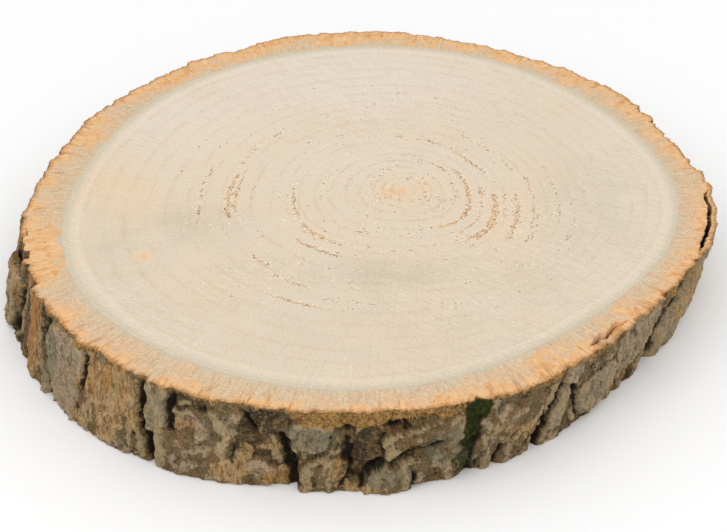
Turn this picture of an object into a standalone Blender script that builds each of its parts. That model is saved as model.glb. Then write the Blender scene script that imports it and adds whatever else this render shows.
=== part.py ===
"""A slice sawn from a poplar log: a pale wooden disc with its ring of rough bark grown round it.

Metres, +Z up. The slice lies flat on its sawn underside, with the origin at the middle of that face.
The tables are in millimetres and degrees. Angles run round the slice, 0 along +X and 90 along +Y, and
heights are measured up from the underside.
"""

import math
import random

import bmesh
import bpy
from mathutils import noise

MM = 0.001

# Driving dimensions, in millimetres
THICKNESS = 35.0
LOG_LEAN = 6.9  # the log was sawn askew, so the top face stands this far to +X of the underside
BARK_RADIUS = 136.3
WOOD_RADIUS = 121.9
WOOD_OFFSET = (1.0, 0.4)  # middle of the wood from the middle of the bark
JOINT_GAP = 0.3  # between the wood and the bark's inner wall
RIM_CHAMFER = 0.6

# Lobes that make each outline less than round: waves round the rim, height, direction of one crest
BARK_LOBES = ((2, 3.3, 51), (3, 1.8, 113), (4, 1.2, 7), (5, 1.0, 72), (6, 0.8, 54), (7, 0.8, 40))
WOOD_LOBES = ((2, 3.6, 56), (3, 1.8, 114), (4, 1.0, 1), (5, 1.1, 63))

# Plates of outer bark, a later one over an earlier one: first and last angle, bottom and top height,
# tilt of the plate, and how far it stands out of the rim's outline
PLATES = (
    (4, 27, -5, 40, 0, -1.6),
    (31, 41, -5, 40, 0, 1.6),
    (164, 182, -5, 40, 0, -0.6),
    (185, 198, 0, 28, 0, 2.4),
    (199, 207, -5, 40, 0, -1.0),
    (207, 210.5, -5, 40, 8, 1.0),
    (214, 224, -5, 34, 0, 1.0),
    (225, 235, 14, 40, 0, -0.4),
    (225, 236, -5, 14, 0, 1.2),
    (236.5, 240.5, 15, 40, 0, 1.4),
    (242, 246.5, 24, 33, 0, 0.4),
    (252, 262, -5, 33, 0, -1.2),
    (250, 259, -5, 13, -20, 1.0),
    (240, 252, -5, 29, 12, 2.0),
    (259.5, 266, 16, 30, 0, 0.8),
    (263, 269.5, -5, 15, 0, 3.0),
    (269.5, 279, 4, 28, 0, -1.5),
    (269, 275, -5, 4, 0, 2.4),
    (274, 288, 16, 28, 14, 1.8),
    (273, 291, 3, 14, 11, 1.6),
    (272.5, 279.5, -8, 10, 11, 4.6),
    (291, 300, 12, 40, 0, 0.6),
    (290, 301, -5, 12, 0, -0.8),
    (303, 306.5, -5, 40, -10, 0.2),
    (307, 318, 4, 22, 0, 1.4),
    (310, 320, 23, 40, 0, 0.4),
    (318, 329, 11, 40, 0, 1.0),
    (332, 340, 2, 23, 0, 1.0),
    (340, 352, -5, 5, 0, -1.0),
    (342, 369, 5, 40, 0, 0.2),
)

# Fissures between the plates: width, depth, and the angles and heights they run through
FISSURES = (
    (7.0, 5.5, (196.5, 34), (199, 25), (198, 18), (199.5, 12), (198, 5)),
    (5.5, 4.0, (212.5, 33), (213.5, 15), (216, 8), (217, 2)),
    (3.5, 2.5, (224.5, 36), (224.5, 16)),
    (6.0, 6.5, (236, 33), (236.5, 18), (238.5, 10), (239.5, 3)),
    (4.5, 4.0, (241, 34), (242, 19)),
    (4.0, 2.5, (252, 32), (254.5, 24)),
    (5.5, 4.0, (259, 21), (261, 10), (262.5, 2)),
    (6.5, 2.5, (268.5, 26), (269, 2)),
    (5.0, 3.0, (274, 27), (281, 31)),
    (5.0, 3.0, (272.5, 3), (273, 9), (279, 16.5), (283, 18)),
    (11.0, 3.0, (286.5, 34), (288, 20), (289, -2)),
    (4.0, 2.5, (294, 10), (293, 1)),
    (5.0, 5.0, (303.5, 36), (302.5, 20), (301.5, 12), (301, 2)),
    (4.0, 3.0, (306, 24), (307, 18), (309.5, 5)),
    (4.5, 2.5, (318.5, 13), (320, 4)),
    (6.5, 3.5, (327, 11), (325.5, 4)),
    (8.0, 6.0, (336, 31), (332.5, 23), (331, 14), (331, 2)),
    (5.5, 3.5, (341.5, 32), (341, 12)),
)

# Splits that open on the top face behind a lifting plate: first and last angle, the plate's thickness
# and how far its top lies below the sawn face, and the split's width and depth
SPLITS = (
    (189, 199.5, 2.4, 7.0, 1.2, 22.0),
    (309, 320, 3.4, 2.2, 1.6, 4.0),
    (343, 363, 2.0, 0.4, 2.0, 27.0),
)

# The side that is out of sight gets plates and fissures of the same kind, drawn at random
HIDDEN_FROM = 42
HIDDEN_TO = 158
HIDDEN_SEED = 11

# Mesh density
SECTIONS = 352
SIDE_ROWS = 10


def smooth_step(low, high, value):
    """0 below low, 1 above high and an even S between them."""
    share = min(1.0, max(0.0, (value - low) / (high - low)))
    return share * share * (3 - 2 * share)


def rim_length(angle, start):
    """Signed length along the rim from one angle to another, in millimetres."""
    turn = (angle - start + 180) % 360 - 180
    return math.radians(turn) * BARK_RADIUS


def outline(radius, lobes, angle):
    """Radius of a lobed outline at an angle."""
    waving = (height * math.cos(math.radians(waves * (angle - crest))) for waves, height, crest in lobes)
    return radius + sum(waving)


def bark_outline(angle):
    return outline(BARK_RADIUS, BARK_LOBES, angle)


def wood_outline(angle):
    """Radius of the joint between wood and bark, from the middle of the bark."""
    across, along = WOOD_OFFSET
    shift = across * math.cos(math.radians(angle)) + along * math.sin(math.radians(angle))
    return outline(WOOD_RADIUS, WOOD_LOBES, angle) + shift


def draw_hidden_bark():
    """Plates and fissures for the side out of sight: columns of two plates, with a fissure after each."""
    draw = random.Random(HIDDEN_SEED)
    plates, fissures = [], []
    first = HIDDEN_FROM
    while first < HIDDEN_TO:
        last = first + draw.uniform(7, 12)
        break_height = draw.uniform(9, 26)
        tilt = draw.uniform(-12, 12)
        plates.append((first, last, -5, break_height, tilt, draw.uniform(0.2, 2.4)))
        plates.append((first, last, break_height + 1, 40, tilt, draw.uniform(-0.8, 0.8)))
        lean = draw.uniform(-2.5, 2.5)
        width = draw.uniform(4.5, 7.0)
        path = ((last, 32), (last + lean / 2, 18), (last + lean, -2))
        fissures.append((width, draw.uniform(3.0, 5.5), *path))
        first = last
    return plates, fissures


HIDDEN_PLATES, HIDDEN_FISSURES = draw_hidden_bark()


def inside_plate(angle, height, plate):
    """How far a place on the side lies inside a plate's rounded outline; negative outside it."""
    first, last, bottom, top, tilt, _ = plate
    half_span = math.radians(last - first) / 2 * BARK_RADIUS
    half_rise = (top - bottom) / 2
    corner = min(half_span, half_rise) * 0.6
    along = rim_length(angle, (first + last) / 2)
    up = height - (bottom + top) / 2
    turn = math.radians(tilt)
    past_side = abs(along * math.cos(turn) + up * math.sin(turn)) - half_span + corner
    past_end = abs(up * math.cos(turn) - along * math.sin(turn)) - half_rise + corner
    return corner - math.hypot(max(past_side, 0), max(past_end, 0)) - min(max(past_side, past_end), 0)


def plate_lift(angle, height):
    """How far the plates stand out of the rim's outline at a place on the side."""
    edge = 2.0
    lift = 0.0
    for plate in (*PLATES, *HIDDEN_PLATES):
        lift += (plate[-1] - lift) * smooth_step(-edge / 2, edge / 2, inside_plate(angle, height, plate))
    return lift


def distance_to_path(angle, height, path):
    """Shortest way along the side from a place to a path of angles and heights."""
    shortest = math.inf
    for (angle_a, height_a), (angle_b, height_b) in zip(path, path[1:]):
        run, rise = rim_length(angle_b, angle_a), height_b - height_a
        along, up = rim_length(angle, angle_a), height - height_a
        share = (along * run + up * rise) / (run * run + rise * rise)
        share = min(1.0, max(0.0, share))
        shortest = min(shortest, math.hypot(along - share * run, up - share * rise))
    return shortest


def fissure_depth(angle, height):
    """Depth of the deepest fissure at a place on the side; they grow shallow under the sawn inner bark."""
    deepest = 0.0
    for width, depth, *path in (*FISSURES, *HIDDEN_FISSURES):
        away = distance_to_path(angle, height, path) / (width / 2)
        if away < 1:
            deepest = max(deepest, depth * (1 - away ** 1.2))
    return deepest * (1 - 0.75 * smooth_step(THICKNESS - 7.5, THICKNESS - 1.5, height))


def rough(angle, height, grain, reach):
    """Smooth noise on the side, twice as long up the log as it is wide."""
    turn = math.radians(angle)
    around = BARK_RADIUS / grain
    place = (math.cos(turn) * around, math.sin(turn) * around, height / grain / 2)
    return noise.noise(place) * reach


def side_radius(angle, height):
    """Radius of the outside of the bark."""
    relief = plate_lift(angle, height) - fissure_depth(angle, height)
    return bark_outline(angle) + relief + rough(angle, height, 6.0, 1.2)


def split_at(angle):
    """The split at an angle: its plate's thickness and drop, and its own width and depth."""
    closing = 8.0
    for first, last, plate, drop, width, depth in SPLITS:
        half = math.radians(last - first) / 2 * BARK_RADIUS
        inside = half - abs(rim_length(angle, (first + last) / 2))
        if inside > 0:
            share = smooth_step(0, closing, inside)
            return plate, drop * share, width * share, depth * share
    return 4.0, 0.0, 0.0, 0.0


def placed(angle, radius, height):
    """A place given round the leaning log, as a point in metres."""
    turn = math.radians(angle)
    lean = LOG_LEAN * (height / THICKNESS - 0.5)
    return ((radius * math.cos(turn) + lean) * MM, radius * math.sin(turn) * MM, height * MM)


def bark_section(angle):
    """The bark cut through at an angle: radius and height of each corner, from the inner wall's top."""
    inner = wood_outline(angle) + JOINT_GAP / 2
    plate, drop, width, depth = split_at(angle)
    highest = THICKNESS - RIM_CHAMFER - drop
    side = []
    for row in range(SIDE_ROWS):
        height = highest + (RIM_CHAMFER - highest) * row / (SIDE_ROWS - 1)
        side.append((side_radius(angle, height), height))
    least_wall = 1.4
    closed_width = 0.4
    rim = side[0][0] - RIM_CHAMFER
    beside = min(radius for radius, height in side if height >= highest - depth)
    split_outer = min(side[0][0] - plate, beside - least_wall, rim - least_wall)
    split_inner = split_outer - max(width, closed_width)
    split_middle = (split_inner + split_outer) / 2
    sawn = [
        (inner, THICKNESS),
        ((inner + split_inner) / 2, THICKNESS),
        (split_inner, THICKNESS),
        (split_middle, THICKNESS - depth),
        (split_outer, THICKNESS - drop),
        (rim, THICKNESS - drop),
    ]
    underside = [(side[-1][0] - RIM_CHAMFER, 0.0), (inner, 0.0)]
    return sawn + side + underside


def make_material(name, colour, roughness):
    material = bpy.data.materials.new(name)
    material.use_nodes = True
    shader = material.node_tree.nodes["Principled BSDF"]
    shader.inputs["Base Color"].default_value = (*colour, 1.0)
    shader.inputs["Roughness"].default_value = roughness
    shader.inputs["Metallic"].default_value = 0.0
    material.diffuse_color = (*colour, 1.0)
    return material


def add_object(name, shape, material, sharp_from):
    """Links a finished bmesh as an object, smooth apart from its sharp edges, and frees the bmesh."""
    mesh = bpy.data.meshes.new(name)
    bmesh.ops.recalc_face_normals(shape, faces=shape.faces[:])
    shape.to_mesh(mesh)
    shape.free()
    mesh.shade_smooth()
    mesh.set_sharp_from_angle(angle=math.radians(sharp_from))
    mesh.materials.append(material)
    bpy.context.scene.collection.objects.link(bpy.data.objects.new(name, mesh))


def make_wood():
    """The sawn disc: its underside, extruded up the leaning log to the top face."""
    disc = bmesh.new()
    bmesh.ops.create_circle(disc, cap_ends=True, segments=SECTIONS, radius=1.0)
    for vertex in disc.verts:
        angle = math.degrees(math.atan2(vertex.co.y, vertex.co.x))
        vertex.co = placed(angle, wood_outline(angle) - JOINT_GAP / 2, 0.0)
    lifted = bmesh.ops.extrude_face_region(disc, geom=disc.faces[:])
    top = [part for part in lifted["geom"] if isinstance(part, bmesh.types.BMVert)]
    bmesh.ops.translate(disc, verts=top, vec=(LOG_LEAN * MM, 0, THICKNESS * MM))
    add_object("wood", disc, make_material("poplar wood", (0.76, 0.64, 0.48), 0.7), 40)


def make_bark():
    """The bark: its section at each step round the log, joined to the next."""
    ring = bmesh.new()
    sections = []
    for step in range(SECTIONS):
        angle = 360 * step / SECTIONS
        sections.append([ring.verts.new(placed(angle, *corner)) for corner in bark_section(angle)])
    for section, following in zip(sections, sections[1:] + sections[:1]):
        for place, corner in enumerate(section):
            past = (place + 1) % len(section)
            ring.faces.new((corner, section[past], following[past], following[place]))
    add_object("bark", ring, make_material("poplar bark", (0.17, 0.13, 0.085), 0.9), 50)


def main():
    for old in list(bpy.data.objects):
        bpy.data.objects.remove(old)
    make_wood()
    make_bark()


main()
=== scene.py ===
"""Looks for a wood slice: the sawn disc, its ring of bark, the moss and torn fibres on it, and a pale studio.

Tables are in millimetres and degrees, as the log is measured: angles run round the slice, 0 along +X and 90
along +Y, and heights are measured up from the underside. Meshes are written in metres.
"""

import math
import random

import bpy
import numpy as np
from bpy.props import FloatProperty, FloatVectorProperty, IntProperty, PointerProperty
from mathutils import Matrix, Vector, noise


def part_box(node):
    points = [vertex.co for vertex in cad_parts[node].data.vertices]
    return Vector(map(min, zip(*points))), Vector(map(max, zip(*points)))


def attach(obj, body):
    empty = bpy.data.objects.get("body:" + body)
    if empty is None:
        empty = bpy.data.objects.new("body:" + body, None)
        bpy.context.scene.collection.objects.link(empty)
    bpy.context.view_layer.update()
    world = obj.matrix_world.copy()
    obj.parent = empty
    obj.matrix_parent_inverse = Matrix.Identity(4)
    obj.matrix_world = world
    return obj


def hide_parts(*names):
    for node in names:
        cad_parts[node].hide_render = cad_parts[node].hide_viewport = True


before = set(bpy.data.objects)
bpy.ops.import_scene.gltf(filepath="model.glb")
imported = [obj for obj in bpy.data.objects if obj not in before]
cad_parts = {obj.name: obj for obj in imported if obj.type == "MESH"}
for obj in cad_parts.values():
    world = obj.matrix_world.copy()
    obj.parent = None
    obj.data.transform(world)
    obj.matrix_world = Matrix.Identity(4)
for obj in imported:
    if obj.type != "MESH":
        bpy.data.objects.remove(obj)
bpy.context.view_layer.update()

bl_info = {
    "name": "Wood Slice",
    "version": (1, 0, 0),
    "blender": (4, 5, 0),
    "location": "View3D > Sidebar > Wood Slice",
    "description": "Builds a sawn slice of a log with rough bark, moss and torn fibres",
    "category": "Add Mesh",
}

MM = 0.001

# The stage, in metres and degrees
STUDIO_LIGHT = 1.1  # on a level surface, where 1 shows a colour as it is
SKY_STRENGTH = 0.88
KEY_PLACE = (-0.1, -0.75, 1.3)
KEY_TILT = 31
KEY_SWING = -8
KEY_WIDTH = 2.0
KEY_POWER = 9.0
CAMERA_PLACE = (0.00296, -0.69249, 0.4863)
CAMERA_TILT = 55
CAMERA_SPREAD = 20  # angle between the picture's two sides
SENSOR_WIDTH = 36.0
FLOOR_WIDTH = 8.0

THICKNESS = (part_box("wood")[1][2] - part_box("wood")[0][2]) / MM

# Outlines: waves round the rim, height of each wave, direction of one crest
BARK_LOBES = ((2, 3.3, 51), (3, 1.8, 113), (4, 1.2, 7), (5, 1.0, 72), (6, 0.8, 54), (7, 0.8, 40))
WOOD_LOBES = ((2, 3.6, 56), (3, 1.8, 114), (4, 1.0, 1), (5, 1.1, 63))

# Plates of outer bark, a later one over an earlier one: first and last angle, bottom and top height,
# tilt, how far it stands out, and its tone from dark brown (-1) to light grey (1)
PLATES = (
    (4, 27, -5, 40, 0, -1.6, 0.0),
    (31, 41, -5, 40, 0, 1.6, 0.5),
    (164, 182, -5, 40, 0, -0.6, 0.5),
    (185, 198, 0, 20, 0, 2.4, 0.6),
    (191, 198, 18, 28, 0, 2.4, 0.6),
    (199, 207, -5, 40, 0, -1.0, -0.3),
    (207, 210.5, -5, 40, 8, 1.0, 0.0),
    (214, 224, -5, 34, 0, 1.0, 1.5),
    (225, 235, 14, 40, 0, -0.4, 0.5),
    (225, 236, -5, 14, 0, 1.2, 0.5),
    (236.5, 240.5, 15, 40, 0, 1.4, 0.8),
    (242, 246.5, 24, 33, 0, 0.4, -0.2),
    (252, 262, -5, 33, 0, -1.2, -0.6),
    (250, 259, -5, 13, -20, 1.0, 0.3),
    (240, 252, -5, 29, 12, 2.0, 0.3),
    (259.5, 266, 16, 30, 0, 0.8, 0.8),
    (263, 269.5, -5, 15, 0, 3.0, 0.0),
    (269.5, 279, 4, 28, 0, -1.5, -0.5),
    (269, 275, -5, 4, 0, 2.4, -0.2),
    (274, 288, 16, 28, 14, 1.8, 0.1),
    (273, 291, 3, 14, 11, 1.6, 0.2),
    (272.5, 279.5, -8, 10, 11, 4.6, 0.4),
    (291, 300, 12, 40, 0, 0.6, 0.2),
    (290, 301, -5, 12, 0, -0.8, 0.0),
    (303, 306.5, -5, 40, -10, 0.2, 0.6),
    (307, 318, 4, 22, 0, 1.4, 0.9),
    (310, 320, 23, 40, 0, 0.4, 0.3),
    (318, 329, 11, 40, 0, 1.0, 1.0),
    (332, 340, 2, 23, 0, 1.0, 1.2),
    (340, 352, -5, 5, 0, -1.0, 1.2),
    (342, 369, 5, 40, 0, 0.2, 1.1),
)

# Fissures between the plates: width, depth, and the angles and heights they run through
FISSURES = (
    (7.0, 5.0, (200.5, 24), (200, 18), (200.5, 12), (199, 5)),
    (5.5, 4.0, (212.5, 33), (213.5, 15), (216, 8), (217, 2)),
    (3.5, 2.5, (224.5, 36), (224.5, 16)),
    (6.0, 6.5, (236, 33), (236.5, 18), (238.5, 10), (239.5, 3)),
    (4.5, 4.0, (241, 34), (242, 19)),
    (4.0, 2.5, (252, 32), (254.5, 24)),
    (5.5, 4.0, (259, 21), (261, 10), (262.5, 2)),
    (6.5, 2.5, (268.5, 26), (269, 2)),
    (5.0, 3.0, (274, 27), (281, 31)),
    (5.0, 3.0, (272.5, 3), (273, 9), (279, 16.5), (283, 18)),
    (11.0, 3.0, (286.5, 34), (288, 20), (289, -2)),
    (4.0, 2.5, (294, 10), (293, 1)),
    (5.0, 5.0, (303.5, 36), (302.5, 20), (301.5, 12), (301, 2)),
    (4.0, 3.0, (306, 24), (307, 18), (309.5, 5)),
    (4.5, 2.5, (318.5, 13), (320, 4)),
    (6.5, 3.5, (327, 11), (325.5, 4)),
    (12.0, 8.0, (338, 32), (334, 24), (331, 14), (331, 2)),
    (7.0, 5.0, (341.5, 32), (341, 8)),
)

# Splits that open on the top face behind a lifting plate: first and last angle, the plate's thickness
# and how far its top lies below the sawn face, and the split's width and depth
SPLITS = (
    (189, 198.5, 2.4, 7.0, 1.2, 22.0),
    (309, 320, 3.4, 2.2, 1.6, 4.0),
    (343, 363, 2.0, 0.4, 2.0, 27.0),
)

# Patches of the bark, each an oval: angle and height of its middle, half its width and height, strength
BARE_PATCHES = (
    (190, 18, 14, 16, 0.45), (209, 17, 3.2, 22, 1.0), (203.5, 33, 2, 3, 0.8), (230.5, 20, 8, 18, 0.75),
    (228, 20, 2.2, 6, 1.0), (231.5, 5, 3, 4, 0.7), (244, 22.5, 3, 2, 0.9), (252.3, 6.5, 3.4, 6.5, 1.0),
    (253.8, 14, 1.3, 4, 0.9), (257.5, 16.5, 2.2, 1.7, 1.0), (259.8, 4.5, 2.8, 4.5, 0.8),
    (272, 2, 4, 2.2, 1.0), (268.5, 7.5, 1.8, 3, 0.7), (297, 14, 4, 5, 0.5), (340, 17, 4.2, 7, 0.8),
    (355, 18, 18, 17, 0.55), (318, 6, 5, 5, 0.35), (226, 8, 3, 8, 0.4), (194, 15, 4, 12, 0.5),
)
RUST_PATCHES = (
    (262, 32, 3, 4, 0.6), (266, 31.5, 5, 4.5, 1.0), (271, 31.5, 6, 4.5, 1.0), (277, 32.5, 6, 3, 0.9),
    (284, 32.5, 6, 3, 0.6), (260, 3.5, 4, 3.5, 0.5), (209, 12, 2.5, 14, 0.4), (268.5, 14, 2, 8, 0.4),
    (311, 33, 4, 3, 0.7), (337, 32, 6, 3, 0.8), (213, 32, 4, 3, 0.5), (225, 34, 8, 2, 0.6),
    (298, 33.5, 6, 2, 0.6), (200, 33, 4, 3, 0.5), (325, 34, 6, 2, 0.4), (245, 34, 8, 1.6, 0.5),
)
BAST_STRIPS = (
    (208.6, 20, 1.7, 26, 1.0), (226.5, 24, 1.4, 9, 0.6), (229.5, 26, 1.3, 9, 0.7), (233, 22, 1.2, 10, 0.5),
    (203.5, 34, 1.6, 3, 0.7), (188, 20, 6, 12, 0.5),
)
LICHEN_PATCHES = (
    (200.5, 22, 3, 9, 0.9), (215, 18, 4, 16, 0.7), (220, 20, 8, 14, 0.35), (238.5, 25, 3.4, 9, 0.6),
    (262.5, 23, 5.5, 6, 0.8), (276, 6, 5, 6, 0.6), (284.5, 18, 4.5, 10, 0.7), (312, 12, 7, 8, 0.4),
    (335, 12, 6, 9, 0.35), (250, 25, 4, 3.5, 0.4), (292, 5, 5, 5, 0.4),
)
MOSS_PATCHES = (
    (287.6, 30, 2.3, 7, 1.0), (287.2, 20, 2.2, 9, 0.8), (286.8, 9, 1.8, 8, 0.55), (214, 20, 1.8, 12, 0.25),
    (261, 14, 2.0, 8, 0.4), (237, 24, 2.4, 9, 0.25), (302, 31, 4, 3, 0.3), (274.5, 28, 4, 3, 0.3),
)

# Orange of the inner bark on the sawn faces: angle, and where it starts between the wood (0) and the rim (1)
ORANGE_FROM = (
    (0, 0.5), (6, 0.75), (12, 0.6), (18, 0.35), (25, 0.6), (32, 0.3), (38, 0.6), (45, 0.2), (52, 0.5),
    (60, 0.25), (68, 0.3), (75, 0.5), (82, 0.3), (88, 0.4), (93, 0.1), (98, 0.15), (102, 0.6), (108, 0.25),
    (115, 0.3), (120, 0.6), (126, 0.3), (131, 0.1), (136, 0.2), (140, 0.6), (147, 0.8), (152, 0.5),
    (157, 0.1), (161, 0.2), (164, 0.55), (170, 0.8), (175, 0.5), (178, 0.8), (181, 0.55), (185, 0.8),
    (189, 0.5), (192, 0.1), (196, 0.0), (203, 0.05), (206, 0.5), (208, 1.0), (212, 0.95), (214, 0.5),
    (217, 0.4), (220, 0.55), (223, 0.9), (226, 0.5), (230, 0.45), (233, 0.85), (237, 0.9), (240, 0.5),
    (244, 0.5), (247, 0.95), (253, 0.85), (257, 0.7), (262, 0.85), (267, 0.7), (272, 0.8), (280, 0.65),
    (286, 0.5), (291, 0.4), (296, 0.65), (300, 0.35), (306, 0.5), (312, 0.65), (317, 0.4), (322, 0.25),
    (327, 0.5), (333, 0.7), (340, 0.4), (345, 0.6), (352, 0.4),
)

# Growth rings, as shares of the way from the pith to the bark
RINGS = (
    0.0, 0.04, 0.07, 0.10, 0.14, 0.182, 0.229, 0.274, 0.322, 0.358, 0.399, 0.462, 0.51, 0.55, 0.6, 0.65,
    0.71, 0.77, 0.83, 0.89, 0.945, 1.0,
)
PITH = (19.7, 6.9)  # from the middle of the underside
RING_BULGE = (-42, 28, 0.2)  # direction, spread and share of the rings' bulge to the lower right

# Rows of open pores along the rings: ring, first and last angle round the pith, pores, and their strength
PORE_ROWS = (
    (0.105, 122, 165, 10, 0.5), (0.14, 300, 345, 10, 0.3), (0.187, 346, 372, 16, 0.6),
    (0.2, 388, 428, 16, 0.9), (0.229, 303, 390, 90, 1.0), (0.274, 308, 368, 52, 0.7),
    (0.318, 313, 356, 90, 1.0), (0.326, 314, 350, 60, 0.9), (0.356, 335, 366, 22, 0.5),
    (0.395, 322, 358, 56, 0.8), (0.403, 325, 352, 26, 0.6), (0.458, 325, 372, 36, 0.7),
    (0.47, 330, 350, 24, 0.5), (0.548, 338, 370, 26, 0.5), (0.605, 334, 349, 30, 0.5),
    (0.32, 382, 412, 22, 0.9), (0.335, 405, 448, 24, 0.8), (0.43, 370, 418, 20, 0.8),
    (0.333, 176, 210, 36, 0.7), (0.342, 212, 243, 50, 0.9), (0.375, 178, 192, 8, 0.4),
    (0.4, 224, 247, 36, 0.9), (0.457, 178, 190, 8, 0.3), (0.525, 166, 198, 56, 1.0),
    (0.505, 168, 194, 40, 0.8), (0.535, 130, 160, 34, 0.6), (0.61, 163, 196, 40, 0.8),
    (0.65, 170, 191, 16, 0.4), (0.25, 150, 194, 18, 0.4), (0.262, 222, 258, 14, 0.5),
    (0.537, 220, 230, 14, 0.8), (0.567, 234, 246, 18, 0.9), (0.645, 238, 256, 26, 0.8),
    (0.602, 252, 270, 16, 0.6), (0.335, 268, 284, 6, 0.6), (0.46, 282, 314, 12, 0.5),
    (0.528, 296, 324, 10, 0.5), (0.7, 292, 302, 5, 0.4),
)
STRAY_PORES = 700

# Stains on the wood, and pale patches that are partly painted light: place from the middle of the top face,
# half width and height, strength
GREY_STAINS = (
    (-68, -20, 24, 20, 1.0), (-92, -32, 18, 28, 1.0), (10, -54, 46, 13, 1.0), (-40, -50, 26, 12, 0.35),
    (50, -70, 30, 14, 0.25), (-105, -8, 6, 26, 0.4), (0, -90, 100, 40, 0.35), (92, -8, 26, 50, 0.9),
    (70, -58, 36, 20, 0.6),
)
WARM_STAINS = (
    (16, 6, 20, 16, 0.7), (16, 6, 8, 6, 1.9), (15, 6, 17, 11, 1.7), (-85, -40, 4, 7, 1.9),
    (-109, -45, 3, 5, 1.5), (-100, 6, 22, 30, 0.9), (-25, -8, 8, 10, 0.5), (-14, -22, 22, 9, 0.4),
    (55, -12, 16, 22, 0.6), (-50, 30, 40, 40, 0.3), (-52, 0, 6, 16, 0.5),
)
# Pale patches: some are pale wood, and the large ones toward the back are painted light, which makes the back
# of the top face paler
PALE_PATCHES_AND_PAINTED_LIGHT = (
    (-10, 95, 90, 45, 1.0), (-70, 60, 50, 45, 0.8), (105, 10, 26, 70, 0.5), (95, -45, 26, 30, 0.4),
    (-5, 30, 50, 30, 0.5),
)

PORE_SEED = 5
MOSS_SEED = 3
FIBRE_SEED = 4

# The bark's section: steps over the sawn band, down each wall of a split and over the lip outside it, then
# the corners down the side and along the underside, and how deep each corner across a split lies
BAND_STEPS = 15
WALL_STEPS = 4
LIP_STEPS = 4
SIDE_STATIONS = 46
UNDER_STATIONS = 9
WELL_PROFILE = (0, 0.04, 0.3, 0.7, 1, 0.7, 0.3, 0.04, 0)
CHAMFER = 0.5
LEAST_WALL = 1.0  # of the plate outside a split

# The side that is out of sight gets plates and fissures of the same kind, drawn at random
HIDDEN_FROM = 42
HIDDEN_TO = 158
HIDDEN_SEED = 11


def linear(red, green, blue):
    """A colour as it shows on screen under the studio's light, in the linear values that materials use."""
    return tuple(((value / 255 + 0.055) / 1.055) ** 2.4 / STUDIO_LIGHT for value in (red, green, blue))


def size_property(name, description, default):
    kind = IntProperty if isinstance(default, int) else FloatProperty
    return kind(name=name, description=description, default=default)


class SliceSizes(bpy.types.PropertyGroup):
    """Sizes of the slice, in millimetres, and how finely its pieces are meshed"""

    lean: size_property("Lean", "How far the top face stands to +X of the underside", 6.9)
    bark_radius: size_property("Bark radius", "Mean radius of the bark's outside", 136.3)
    wood_radius: size_property("Wood radius", "Mean radius of the wood", 121.9)
    wood_across: size_property("Wood offset X", "How far the wood's middle stands to +X of the bark's", 1.0)
    wood_along: size_property("Wood offset Y", "How far the wood's middle stands to +Y of the bark's", 0.4)
    bark_sectors: size_property("Bark sectors", "Steps of the bark's mesh round the log", 1160)
    wood_sectors: size_property("Wood sectors", "Steps of the wood's mesh round the pith", 480)
    moss_blades: size_property("Moss blades", "Leaflets in the moss", 2600)
    fibre_count: size_property("Fibres", "Torn slivers along the rim and the bare bark", 1500)


def colour_property(name, description, default):
    return FloatVectorProperty(name=name, description=description, subtype="COLOR", size=3, min=0, max=1,
                               default=default)


class SliceColours(bpy.types.PropertyGroup):
    """Colours of the slice and the studio"""

    cream: colour_property("Cream", "Sawn wood", linear(229, 212, 189))
    warm: colour_property("Warm", "Tinted wood round the pith and the pores", linear(238, 208, 172))
    grey: colour_property("Grey", "Stained wood", linear(198, 188, 164))
    pale: colour_property("Pale", "Youngest wood, next to the bark", linear(210, 200, 176))
    pore: colour_property("Pore", "Torn edge of an open pore", linear(146, 108, 60))
    pink: colour_property("Pink", "Sawn inner bark next to the wood", linear(222, 195, 160))
    orange: colour_property("Orange", "Sawn inner bark next to the rim", linear(236, 186, 132))
    rust: colour_property("Rust", "Crumbled inner bark", linear(134, 98, 50))
    tan: colour_property("Tan", "Bark with its outside flaked off", linear(204, 168, 114))
    brown: colour_property("Brown", "Outer bark in its darker plates", linear(82, 66, 40))
    drab: colour_property("Drab", "Outer bark in most plates", linear(138, 113, 76))
    silver: colour_property("Silver", "Outer bark in its lighter plates", linear(198, 174, 142))
    # Painted shade: near black for the bottoms of fissures, cracks, hollows and deep splits
    fissure_shade: colour_property("Fissure_shade", "Bottom of a fissure", linear(24, 20, 12))
    lichen: colour_property("Lichen", "Lichen on the plates", linear(142, 136, 108))
    moss: colour_property("Moss", "Moss in the fissures", linear(86, 94, 40))
    floor: colour_property("Floor", "Studio floor", (0.93, 0.93, 0.93))


def smooth_step(low, high, value):
    """0 below low, 1 above high and an even S between them."""
    share = np.clip((value - low) / (high - low), 0, 1)
    return share * share * (3 - 2 * share)


def outline(radius, lobes, angle):
    """Radius of a lobed outline at each angle."""
    return radius + sum(height * np.cos(np.radians(waves * (angle - crest)))
                        for waves, height, crest in lobes)


def rim_length(angle, start, radius):
    """Signed length along the rim from one angle to others, in millimetres."""
    return np.radians((angle - start + 180) % 360 - 180) * radius


def wood_outline(angle, sizes):
    """Radius of the joint between wood and bark, from the middle of the bark."""
    shift = sizes.wood_across * np.cos(np.radians(angle)) + sizes.wood_along * np.sin(np.radians(angle))
    return outline(sizes.wood_radius, WOOD_LOBES, angle) + shift


def grain(points, size, shift=0.0):
    """Smooth noise from -1 to 1 at points in millimetres, with lumps about as wide as size."""
    flat = (points / size + shift).reshape(-1, 3).tolist()
    return np.fromiter(map(noise.noise, flat), float, len(flat)).reshape(points.shape[:-1])


def rough_grain(points, size, octaves):
    """Noise with finer and finer lumps laid over each other."""
    return sum(grain(points, size / 2**octave, 7.3 * octave) / 2**octave for octave in range(octaves))


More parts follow.
